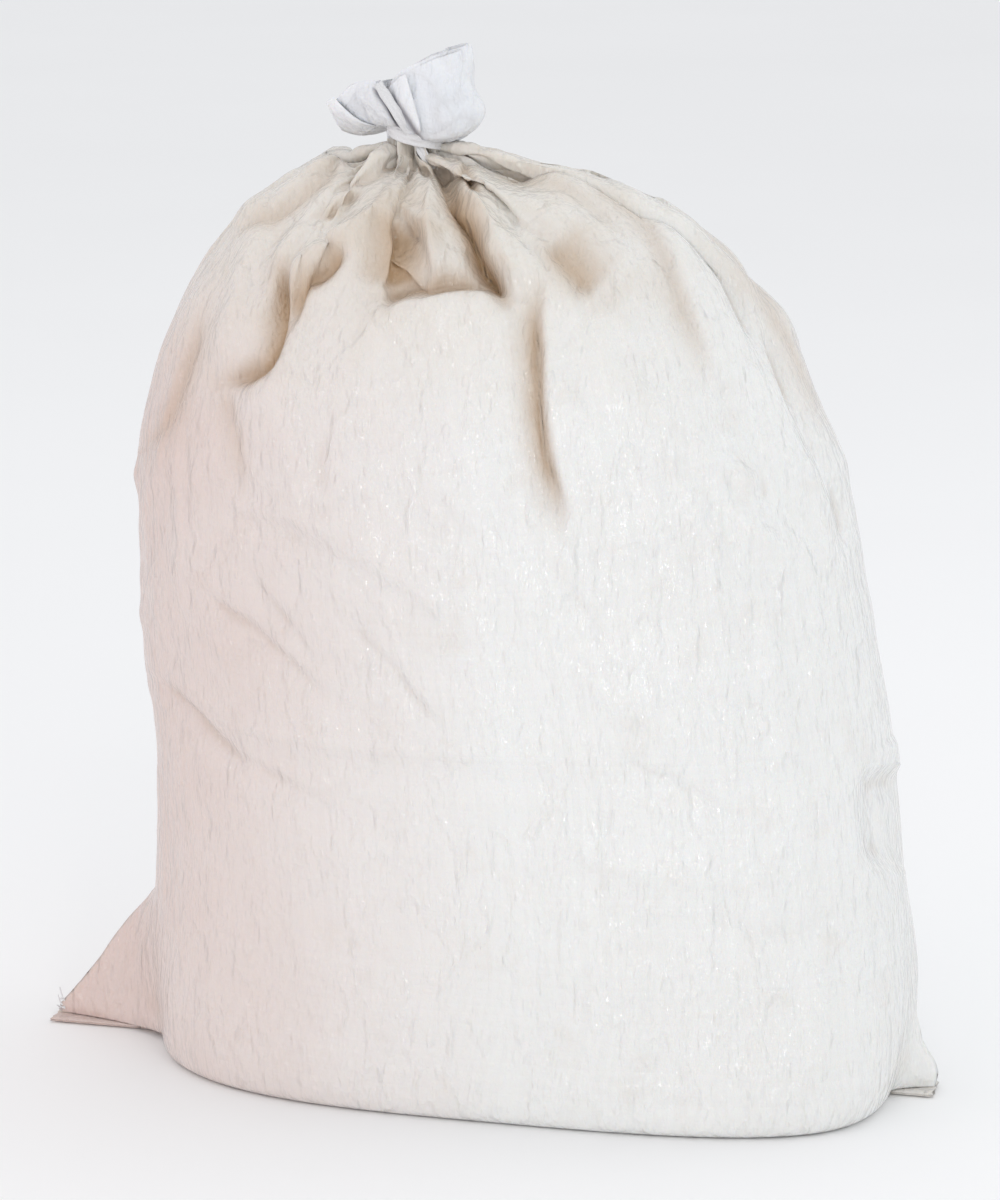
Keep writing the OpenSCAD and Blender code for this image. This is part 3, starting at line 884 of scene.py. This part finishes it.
class Nodes:
    """A short way to write a material's nodes."""

    def __init__(self, name):
        self.material = bpy.data.materials.new(name)
        self.material.use_nodes = True
        self.tree = self.material.node_tree
        self.shader = self.tree.nodes["Principled BSDF"]

    def add(self, kind, inputs=None, **settings):
        """A new node with its settings and its inputs."""
        made = self.tree.nodes.new("ShaderNode" + kind)
        for key, value in settings.items():
            setattr(made, key, value)
        self.feed(made, inputs or {})
        return made

    def feed(self, made, inputs):
        """Sets inputs of a node: a socket is linked, anything else is a value."""
        for key, value in inputs.items():
            if isinstance(value, bpy.types.NodeSocket):
                self.tree.links.new(value, made.inputs[key])
            else:
                made.inputs[key].default_value = value

    def math(self, operation, a, b=0.0, c=0.0):
        """One math node."""
        return self.add("Math", {0: a, 1: b, 2: c}, operation=operation).outputs[0]

    def times(self, a, b):
        """a * b."""
        return self.math("MULTIPLY", a, b)

    def line(self, a, b, c):
        """a * b + c."""
        return self.math("MULTIPLY_ADD", a, b, c)

    def climb(self, value, low, high, start=0.0, end=1.0):
        """A straight climb from start, where value is low, to end, where it is high."""
        return self.add("MapRange", {"Value": value, "From Min": low, "From Max": high,
                                     "To Min": start, "To Max": end}).outputs[0]

    def ramp(self, value, *stops):
        """Colours at places: stops are (place, colour)."""
        made = self.add("ValToRGB", {0: value})
        elements = made.color_ramp.elements
        while len(elements) < len(stops):
            elements.new(0.5)
        for element, (place, colour) in zip(elements, stops):
            element.position = place
            element.color = (*colour, 1)
        return made.outputs[0]

    def mix(self, factor, a, b):
        """Colour a with a share of colour b mixed in."""
        made = self.add("Mix", data_type="RGBA")
        for socket, value in ((0, factor), (6, a), (7, b)):
            self.feed(made, {socket: (*value, 1) if isinstance(value, tuple) else value})
        return made.outputs[2]

    def noise(self, vector, scale, detail=3.0, roughness=0.55):
        """Smooth noise, about 0.5 on average."""
        return self.add("TexNoise", {"Vector": vector, "Scale": scale, "Detail": detail,
                                     "Roughness": roughness}).outputs[0]

    def stretched(self, vector, scale):
        """Coordinates scaled along each axis."""
        return self.add("Mapping", {"Vector": vector, "Scale": scale}).outputs[0]

    def bump(self, height, strength, distance, normal=None):
        """A normal bent by a height, over another normal if there is one."""
        inputs = {"Height": height, "Strength": strength, "Distance": distance}
        if normal:
            inputs["Normal"] = normal
        return self.add("Bump", inputs).outputs[0]


def rgb(red, green, blue):
    """Linear colour of an 8-bit sRGB one."""
    def linear(v):
        """One channel."""
        v /= 255
        return v / 12.92 if v <= 0.04045 else ((v + 0.055) / 1.055) ** 2.4
    return (linear(red), linear(green), linear(blue))


TAPE = 2.5 * MM             # width of the woven tapes


def weave(nodes, uv):
    """Height of the plain weave of flat tapes, and a random value for each tape in either direction."""
    parts = nodes.add("SeparateXYZ", {0: uv})
    u, v = (nodes.math("DIVIDE", parts.outputs[k], TAPE) for k in (0, 1))
    crowns = []
    for place in (u, v):
        centre = nodes.math("SUBTRACT", nodes.math("FRACT", place), 0.5)
        crowns.append(nodes.math("SUBTRACT", 1.0, nodes.math("POWER", nodes.math("ABSOLUTE", centre), 2.5)))
    cells = nodes.math("ADD", nodes.math("FLOOR", u), nodes.math("FLOOR", v))
    over = nodes.math("MODULO", nodes.math("ABSOLUTE", cells), 2.0)
    pillow_u = nodes.math("SINE", nodes.times(nodes.math("FRACT", u), math.pi))
    pillow_v = nodes.math("SINE", nodes.times(nodes.math("FRACT", v), math.pi))
    lifted = nodes.times(pillow_u, pillow_v)
    warp = nodes.times(nodes.times(over, lifted), crowns[0])
    weft = nodes.times(nodes.times(nodes.math("SUBTRACT", 1.0, over), lifted), crowns[1])
    height = nodes.math("ADD", warp, nodes.times(weft, 0.8))
    tones = []
    for place, offset in ((u, 0.0), (v, 371.0)):
        cell = nodes.math("ADD", nodes.math("FLOOR", place), offset)
        tones.append(nodes.add("TexWhiteNoise", {"W": cell}, noise_dimensions="1D").outputs[0])
    return height, tones


def cloth_material(name, light, shade, fold_shade_and_scuff, coat, weave_depth, streaks=1.0, left_warm_light=0.0, top_shade=0.0):
    """Woven tapes under a thin clear film, with crinkles and scuffs. Painted yellowish shade where folds
    lie deep, painted warm light on the left side, and painted creamy shade over the gathered top.
    """
    nodes = Nodes(name)
    uv = nodes.add("UVMap", uv_map="weave").outputs[0]
    place = nodes.add("TexCoord").outputs["Object"]
    height, (warp_tone, weft_tone) = weave(nodes, uv)
    depth = nodes.add("Attribute", attribute_name="depth").outputs["Fac"]
    broad = nodes.noise(place, 7.0, 3.0)
    patch = nodes.noise(place, 38.0, 4.0)
    colour = nodes.mix(nodes.times(broad, 0.9), light, shade)
    tape = nodes.line(warp_tone, 0.10 * streaks, nodes.times(weft_tone, 0.06 * streaks))
    colour = nodes.mix(tape, colour, tuple(0.82 * c for c in shade))
    # random scuffs take a little of the fold colour, which is also the painted crease shade colour
    worn = nodes.ramp(patch, (0.56, (0, 0, 0)), (0.78, (1, 1, 1)))
    colour = nodes.mix(nodes.times(worn, 0.10), colour, fold_shade_and_scuff)
    across, _, up = nodes.add("SeparateXYZ", {0: place}).outputs
    # painted light: a warm pink tint on the left side, standing in for the warm light that falls there,
    # weaker towards the top
    left_warm_light_mask = nodes.climb(across, 0.04, -0.22, 0.0, left_warm_light)
    left_warm_light_mask = nodes.times(left_warm_light_mask, nodes.line(broad, 0.8, 0.6))
    left_warm_light_mask = nodes.times(left_warm_light_mask, nodes.climb(up, 0.52, 0.40, 0.25))
    colour = nodes.mix(left_warm_light_mask, colour, rgb(213, 186, 177))
    # painted shade: a creamy darker tone over the gathered top, less of it on the right where the key light
    # falls
    gathered = nodes.climb(up, 0.40, 0.53, 0.0, top_shade)
    gathered = nodes.times(gathered, nodes.line(patch, 1.3, 0.1))
    gathered = nodes.times(gathered, nodes.climb(across, 0.16, 0.02, 0.25))
    colour = nodes.mix(gathered, colour, rgb(212, 198, 176))
    # painted shade: the crease colour laid into the folds by the shade depth attribute
    crease_shade = nodes.times(nodes.math("POWER", depth, 0.8), nodes.line(broad, 0.4, 0.7))
    colour = nodes.mix(crease_shade, colour, fold_shade_and_scuff)
    nodes.feed(nodes.shader, {"Base Color": colour})
    gloss = nodes.ramp(nodes.noise(nodes.stretched(place, (1, 1, 0.6)), 26.0, 4.0, 0.6),
                       (0.42, (0.62, 0.62, 0.62)), (0.62, (0.34, 0.34, 0.34)))
    gloss = nodes.line(warp_tone, 0.08, gloss)
    nodes.feed(nodes.shader, {"Roughness": gloss})
    crinkle = nodes.noise(nodes.stretched(place, (1, 1, 0.30)), 150.0, 5.0, 0.62)
    ridge = nodes.noise(nodes.stretched(place, (1, 1, 0.45)), 46.0, 3.0)
    ridge = nodes.math("ABSOLUTE", nodes.math("SUBTRACT", ridge, 0.5))
    ridge = nodes.ramp(ridge, (0.0, (1, 1, 1)), (0.10, (0, 0, 0)))
    normal = nodes.bump(ridge, 0.55, 0.0016)
    normal = nodes.bump(crinkle, 0.9, 0.0020, normal)
    streak = nodes.math("ADD", warp_tone, nodes.times(weft_tone, 0.6))
    normal = nodes.bump(streak, 0.20 * streaks, 0.0003, normal)
    normal = nodes.bump(height, weave_depth, 0.0004, normal)
    film = nodes.noise(nodes.stretched(place, (1, 1, 0.28)), 260.0, 2.0, 0.5)
    film = nodes.bump(film, 1.0, 0.0026, nodes.bump(ridge, 0.6, 0.0018))
    nodes.feed(nodes.shader, {"Normal": normal, "Coat Normal": film, "Coat Weight": coat,
                              "Coat Roughness": 0.13, "Coat IOR": 1.45,
                              "Specular IOR Level": 0.45, "Sheen Weight": 0.08, "Sheen Roughness": 0.5,
                              "Subsurface Weight": 0.12, "Subsurface Radius": (0.006, 0.004, 0.0025),
                              "Subsurface Scale": 1.0})
    return nodes.material


def fibre_material(name, light, shade, twist_scale, angle, roughness, gloss=0.4):
    """Fibres that run slantwise: used for sewing yarn and for the split tie strip."""
    nodes = Nodes(name)
    place = nodes.add("TexCoord").outputs["Object"]
    turned = nodes.add("Mapping", {"Vector": place, "Rotation": (0.3, angle, 0.2),
                                   "Scale": (1.0, 0.15, 1.0)}).outputs[0]
    fibres = nodes.noise(turned, twist_scale, 4.0, 0.6)
    broad = nodes.noise(place, 60.0, 3.0)
    colour = nodes.mix(nodes.line(fibres, 0.7, nodes.times(broad, 0.2)),
                       light, shade)
    nodes.feed(nodes.shader, {"Base Color": colour, "Roughness": nodes.line(fibres, 0.25, roughness),
                              "Normal": nodes.bump(fibres, 0.6, 0.0004), "Specular IOR Level": gloss,
                              "Sheen Weight": 0.15})
    return nodes.material


def grain_material():
    """Loose grain."""
    nodes = Nodes("grain")
    place = nodes.add("TexCoord").outputs["Object"]
    cells = nodes.add("TexVoronoi", {"Vector": place, "Scale": 260.0})
    tone = nodes.noise(place, 9.0, 3.0)
    colour = nodes.mix(cells.outputs["Color"], rgb(196, 160, 104), rgb(224, 196, 146))
    colour = nodes.mix(nodes.times(tone, 0.4), colour, rgb(150, 112, 66))
    nodes.feed(nodes.shader, {"Base Color": colour, "Roughness": nodes.line(tone, 0.2, 0.6),
                              "Normal": nodes.bump(cells.outputs["Distance"], 0.8, 0.003)})
    return nodes.material


def floor_material():
    """A matt pale floor."""
    nodes = Nodes("studio_floor")
    place = nodes.add("TexCoord").outputs["Object"]
    tone = nodes.noise(place, 1.5, 2.0)
    colour = nodes.mix(tone, (0.92, 0.92, 0.92), (0.95, 0.95, 0.95))
    nodes.feed(nodes.shader, {"Base Color": colour, "Roughness": 0.9, "Specular IOR Level": 0.1})
    return nodes.material


# the third colour is the painted shade in the creases, also used for the scuffs
cloth_look = cloth_material("woven_cloth", rgb(238, 239, 238), rgb(230, 229, 226), rgb(176, 140, 96),
                            0.7, 0.20, left_warm_light=0.8, top_shade=0.5)
# a bluer, lighter copy of the cloth for the mouth: painted cool light over the whole ruffle; its third
# colour is the grey painted shade in its folds and beside the strand
mouth_cool_light_look = cloth_material("mouth_cloth", rgb(243, 244, 246), rgb(232, 233, 237), rgb(118, 116, 124),
                            0.30, 0.30)
# the hem also gets the painted warm light on its left
hem_material = cloth_material("hem_cloth", rgb(236, 232, 227), rgb(222, 215, 206), rgb(150, 120, 88),
                              0.2, 0.5, left_warm_light=0.8)
thread_material = fibre_material("thread", rgb(236, 232, 222), rgb(196, 188, 172), 2600.0, 0.9, 0.55)
strip_material = fibre_material("tie_strip", rgb(240, 240, 240), rgb(206, 206, 210), 900.0, 0.0, 0.32)
grain_look = grain_material()


# ---- building the pieces

make_camera()
GRID, RUN, SHADE_DEPTH = finished_cloth()
MOUTH = mouth_grid(GRID[-1])
MOUTH_RUN = RUN[-1] + np.r_[0, np.cumsum(np.linalg.norm(np.diff(MOUTH, axis=0), axis=2).mean(1))]
EAR_TOP = 108 * MM
LEFT_CUT = LEFT_ROOT.x + 13 * MM         # the ears' own cloth begins here
RIGHT_CUT = RIGHT_ROOT.x - 20 * MM


def in_left_ear(middle):
    """Which faces, by their centres, are the left ear's."""
    return (middle[:, 0] < LEFT_CUT) & (middle[:, 2] < EAR_TOP)


def in_right_ear(middle):
    """Which faces, by their centres, are the right ear's."""
    return (middle[:, 0] > RIGHT_CUT) & (middle[:, 2] < EAR_TOP)


def make_cloth():
    """The sack's cloth and its two ears, which meet along shared seams."""
    body = cloth_piece("sack_cloth", GRID, RUN, SHADE_DEPTH,
                       lambda middle: ~in_left_ear(middle) & ~in_right_ear(middle), cloth_look)
    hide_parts("sack_body", "neck")
    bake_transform(body)
    for side, inside in (("left", in_left_ear), ("right", in_right_ear)):
        ear = cloth_piece(side + "_ear_cloth", GRID, RUN, SHADE_DEPTH, inside, cloth_look)
        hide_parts(side + "_ear")
        hold(ear, side)
    return body


def bend_mouth(piece):
    """Bakes the place of a piece between the neck and the mouth into its mesh."""
    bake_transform(piece)


def finish_piece(piece, body, node):
    """Says which body a rigid piece rides on, which node it replaces."""
    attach(piece, body)
    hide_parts(node)


def make_mouth():
    """The ruffle of free cloth above the tie."""
    calm = blurred(MOUTH, 12)
    # painted shade: deep in the mouth's folds, and painted shadow lines in the gaps beside the strand
    depth = np.clip(((calm - MOUTH) * grid_normals(calm)).sum(2) / (14 * MM) - 0.05, 0, 1)
    depth = np.maximum(depth, strand_gap_shadow(MOUTH))
    mouth = cloth_piece("mouth_cloth", MOUTH, MOUTH_RUN, depth,
                        lambda middle: middle[:, 2] > 0, mouth_cool_light_look, False)
    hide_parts("mouth_ruffle")
    bend_mouth(mouth)
    return mouth


def make_contents():
    """The grain: a full heap a little inside the cloth, with a grainy surface."""
    heights = np.r_[9 * MM, np.linspace(16 * MM, 0.470, 90), 0.476, 0.480]
    inset = 17 * MM + np.interp(heights, [0.34, 0.47], [0, 14 * MM])
    inset += np.where(heights < 16 * MM, 8 * MM, 0) + np.where(heights > 0.475, 9 * MM, 0)
    rows, sides = len(heights), 180
    points = rings(outline_at(heights), np.linspace(0, 2 * np.pi, sides, endpoint=False), inset)
    lumps = noise_field(rows, sides, 3, 3, 41) + 0.7 * noise_field(rows, sides, 1, 1, 42)
    points += grid_normals(points) * (0.9 * MM * lumps)[..., None]
    faces = grid_faces(rows, sides).tolist()
    caps = []
    for row, flip in ((0, True), (rows - 1, False)):
        start = row * sides
        apex = rows * sides + len(caps)
        caps.append(points[row].mean(0))
        faces += [[start + (k + flip) % sides, start + (k + 1 - flip) % sides, apex]
                  for k in range(sides)]
    contents = new_mesh("contents_grain", np.concatenate([points.reshape(-1, 3), caps]), faces, grain_look)
    finish_piece(contents, "sack", "contents")


def make_tie(cloth, mouth):
    """The strip round the neck: two flat turns, a strand over the front, a knot and two tails."""
    reach = np.percentile(np.hypot(GRID[-1, :, 0] - NECK.x, GRID[-1, :, 1]), 85)
    turn = np.linspace(0, 4 * np.pi, 150)
    radius = reach + 0.7 * MM + 0.5 * MM * np.sin(5.3 * turn) * 0.6
    height = TIE_Z + (turn / (4 * np.pi) - 0.5) * 6 * MM - TIE_SLANT * np.cos(turn + 1.6)
    path = np.stack([NECK.x + radius * np.cos(turn + 1.6), radius * np.sin(turn + 1.6), height], -1)
    sides = np.tile([0.0, 0.0, 1.0], (len(path), 1)) + 0.12 * np.sin(3 * turn)[:, None] * [1, 0, 0]
    wraps = joined("tie_wraps_strip", [ribbon(path, sides, 6.2 * MM, 0.7 * MM, rough=0.07, seed=5)],
                   strip_material)
    finish_piece(wraps, "neck", "tie_wraps")

    trees = []
    for mesh in (cloth.data, mouth.data):
        faces = [list(face.vertices) for face in mesh.polygons]
        trees.append(BVHTree.FromPolygons([vertex.co for vertex in mesh.vertices], faces))
    low, high = STRAND_LINE
    line = []
    for share in np.linspace(-0.05, 1, 16):
        right, up = low + (high - low) * share
        at = np.array(AIM) + (VIEW_RIGHT * right + VIEW_UP * up) * MM
        way = Vector(at) - CAMERA_AT
        hits = [tree.ray_cast(CAMERA_AT, way.normalized()) for tree in trees]
        hits = [h for h in hits if h[0] is not None]
        best = min(hits, key=lambda h: h[3])[0] if hits else Vector(at)
        line.append(np.array(best) - VIEW_IN * 1.4 * MM)
    line = np.array(line)
    for _ in range(6):
        line[1:-1] = (line[:-2] + 2 * line[1:-1] + line[2:]) / 4
    line -= VIEW_IN * 1.8 * MM
    line = catmull(line, np.linspace(0, len(line) - 1, 60))
    tangent = np.gradient(line, axis=0)
    sides = np.cross(tangent, -VIEW_IN)
    strand = joined("tie_strand_strip", [ribbon(line, sides, STRAND_W, 0.9 * MM, rough=0.08, seed=8)],
                    strip_material)
    bend_mouth(strand)
    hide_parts("tie_strand")

    low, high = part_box("tie_knot")
    middle = np.array((low + high) / 2)
    middle[1] = reach + 3.2 * MM
    t = np.linspace(0, 2 * np.pi, 140)
    knot_r = 2.1 * MM
    wide = 2 + np.cos(3 * t)
    coil = np.stack([wide * np.cos(2 * t), 0.9 * np.sin(3 * t), wide * np.sin(2 * t)], -1)
    coil = middle + coil * knot_r * [0.8, 0.9, 0.7]
    knot = joined("tie_knot_strip", [tube(coil, 1.25 * MM, 9)], strip_material)
    finish_piece(knot, "neck", "tie_knot")

    tails = []
    for sign, length, drop in ((-1, 17, 5), (1, 15, 8)):
        s = np.linspace(0, 1, 24)
        wave = (1.5 - 3 * s**2) * MM + 1.5 * MM * np.sin(4 * s)
        path = np.stack([middle[0] + sign * length * MM * s, middle[1] + wave,
                         middle[2] - drop * MM * s**1.8], -1)
        sides = np.stack([0.2 * s, 0.5 * np.sin(2 * s), 1 + 0 * s], -1)
        tails.append(ribbon(path, sides, 4.6 * MM, 0.6 * MM, rough=0.10, seed=11 + sign))
    tails = joined("tie_tails_strip", tails, strip_material)
    finish_piece(tails, "neck", "tie_tails")


def make_frayed_tapes():
    """Loose ends of tape at the left ear's tip."""
    rng = np.random.default_rng(51)
    tip = np.array([LEFT_ROOT.x - 43 * MM, 0.0, 7 * MM])
    parts = []
    for k in range(7):
        length, lift = rng.uniform(5, 10) * MM, rng.uniform(-2, 7) * MM
        s = np.linspace(0, 1, 12)
        path = np.stack([tip[0] + (4 - rng.uniform(0, 3)) * MM - 0.45 * length * s,
                         tip[1] + rng.uniform(-3, 3) * MM + rng.uniform(-3, 3) * MM * s**2,
                         tip[2] + rng.uniform(-3, 8) * MM + lift * s**1.5], -1)
        sides = np.tile([0.1, 0.5, 1.0], (len(s), 1)) + np.outer(s, rng.normal(size=3) * 0.4)
        parts.append(ribbon(path, sides, 0.9 * MM, 0.12 * MM, ribs=2, seed=60 + k))
    tapes = joined("left_frayed_tapes", parts, strip_material)
    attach(tapes, "left_corner")


FLOOR_R = 14.0              # radius of the studio floor


def make_studio():
    """A wide pale floor, soft lights, and a near white surround."""
    turn = np.linspace(0, 2 * np.pi, 64, endpoint=False)
    rim = np.stack([FLOOR_R * np.cos(turn), FLOOR_R * np.sin(turn), 0 * turn], -1)
    new_mesh("studio_floor", rim, [list(range(64))], floor_material())
    world = bpy.data.worlds.new("surround")
    bpy.context.scene.world = world
    world.use_nodes = True
    surround = world.node_tree.nodes["Background"].inputs
    surround["Color"].default_value = (0.97, 0.98, 1.0, 1)
    surround["Strength"].default_value = 0.88
    lamps = (                      # name, place, what it points at, size, watts, colour
        ("glint", (0.62, -2.35, 0.30), (0.05, 0.0, 0.3), 0.22, 5.5, (1.0, 1.0, 1.0)),
        ("key", (1.5, -2.3, 2.3), (0.0, 0.0, 0.28), 1.1, 7, (1.0, 0.99, 0.97)),
        ("fill", (-2.2, -1.6, 0.9), (-0.1, 0.0, 0.2), 1.4, 5, (1.0, 0.72, 0.68)),
        ("top", (0.2, 0.6, 2.6), (0.0, 0.0, 0.4), 1.6, 6, (0.93, 0.97, 1.0)),
        ("rim", (2.4, 1.2, 1.0), (0.0, 0.0, 0.3), 1.0, 4, (0.92, 0.97, 1.0)),
    )
    for name, place, aim, size, power, colour in lamps:
        light = bpy.data.lights.new(name, "AREA")
        light.size = size
        light.energy = power
        light.color = colour
        lamp = bpy.data.objects.new(name, light)
        bpy.context.scene.collection.objects.link(lamp)
        lamp.location = place
        lamp.rotation_euler = (Vector(aim) - Vector(place)).to_track_quat("-Z", "Y").to_euler()
    bpy.context.scene.view_settings.view_transform = "Standard"


sack_cloth = make_cloth()
mouth_cloth = make_mouth()
make_contents()
stitched_hem("bottom", ())
stitched_hem("left", ("low",))
stitched_hem("right", ("high",))
make_tie(sack_cloth, mouth_cloth)
make_frayed_tapes()
make_studio()
